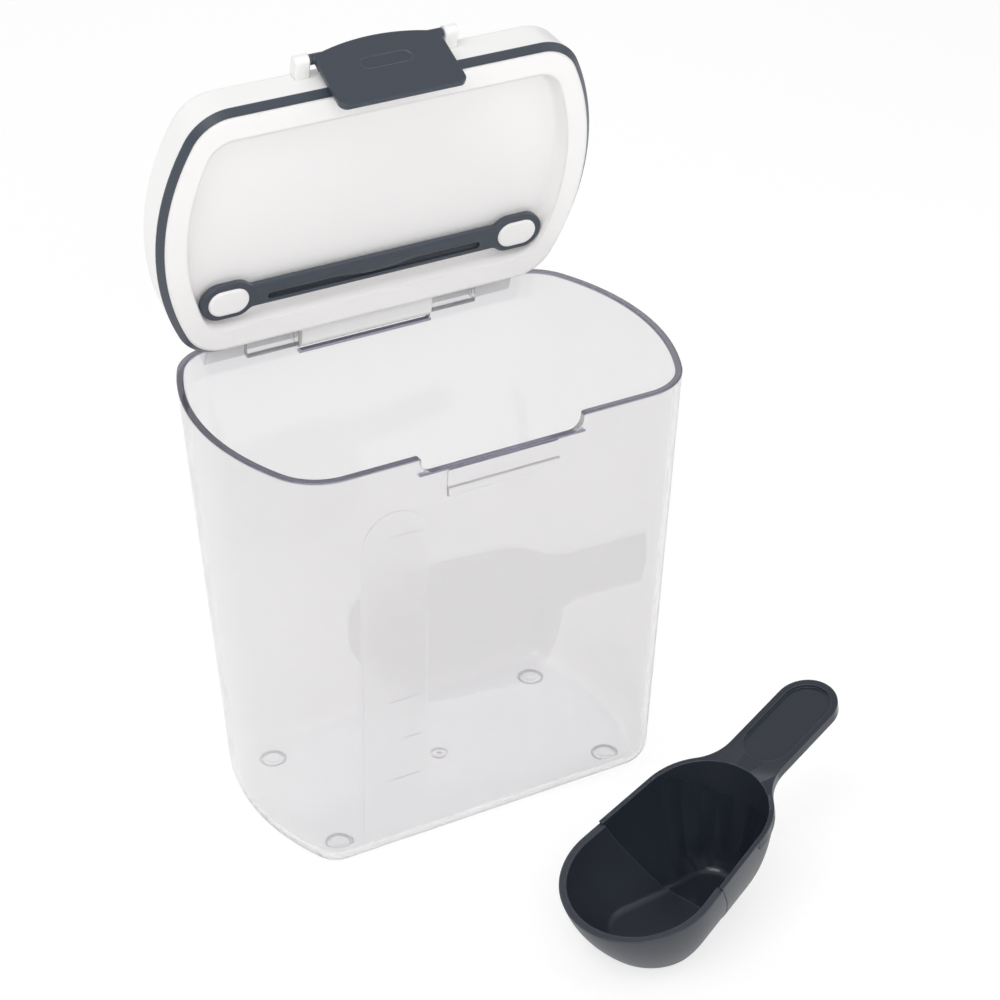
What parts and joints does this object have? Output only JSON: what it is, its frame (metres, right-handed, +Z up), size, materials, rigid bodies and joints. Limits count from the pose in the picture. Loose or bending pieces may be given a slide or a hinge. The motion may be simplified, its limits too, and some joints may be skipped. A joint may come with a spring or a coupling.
{
  "type": "pet food bin",
  "caption": "Clear upright food storage bin with bowed ends, a hinged sealed lid with a front latch and an inner strap, and a measuring scoop beside it.",
  "frame": {"origin": "middle of the tank's flat base, on the floor", "axes": "+X along the bin's long side, to the right seen from the front; the front with the latch faces -Y; +Z up"},
  "size_m": [0.2691, 0.305, 0.3828],
  "materials": {
    "clear_plastic": "clear polished moulding",
    "white_plastic": "satin white moulding",
    "slate_plastic": "fine satin slate",
    "slate_rubber": "matte slate silicone",
    "scoop_plastic": "glossy inside, satin outside, dark slate",
    "scoop_rubber": "matte dark slate soft plastic",
    "steel": "drawn wire"
  },
  "bodies": {
    "bin": {"tank": "clear_plastic"},
    "lid": {"lid_cover": "white_plastic", "lid_liner": "white_plastic", "lid_seal": "slate_rubber", "scoop_strap": "slate_rubber", "strap_button_left": "white_plastic", "strap_button_right": "white_plastic", "hinge_pin_left": "steel", "hinge_pin_right": "steel"},
    "latch_pin": {"latch_pin": "steel"},
    "latch": {"latch_plate": "slate_plastic"},
    "scoop": {"scoop_bowl": "scoop_plastic", "scoop_lip": "scoop_rubber"}
  },
  "joints": [
    {"name": "lid_hinge", "type": "hinge", "parent": "bin", "child": "lid", "pos_m": [0, 0.07675, 0.22785], "axis": [-1, 0, 0], "range_deg": [-77.9, 17]},
    {"name": "latch_pin_turn", "type": "hinge", "parent": "lid", "child": "latch_pin", "pos_m": [0, 0.0482, 0.37846], "axis": [-1, 0, 0], "range_deg": [-3.75, 16.95]},
    {"name": "latch_hinge", "type": "hinge", "parent": "latch_pin", "child": "latch", "pos_m": [0, 0.0482, 0.37846], "axis": [-1, 0, 0], "range_deg": [-3.4, 90]},
    {"name": "scoop_lift", "type": "slide", "parent": "bin", "child": "scoop", "axis": [0, 0, 1], "range_m": [0, 0.3]}
  ],
  "couplings": [
    {"joint": "latch_pin_turn", "follows": "lid_hinge", "ratio": -0.2169}
  ]
}
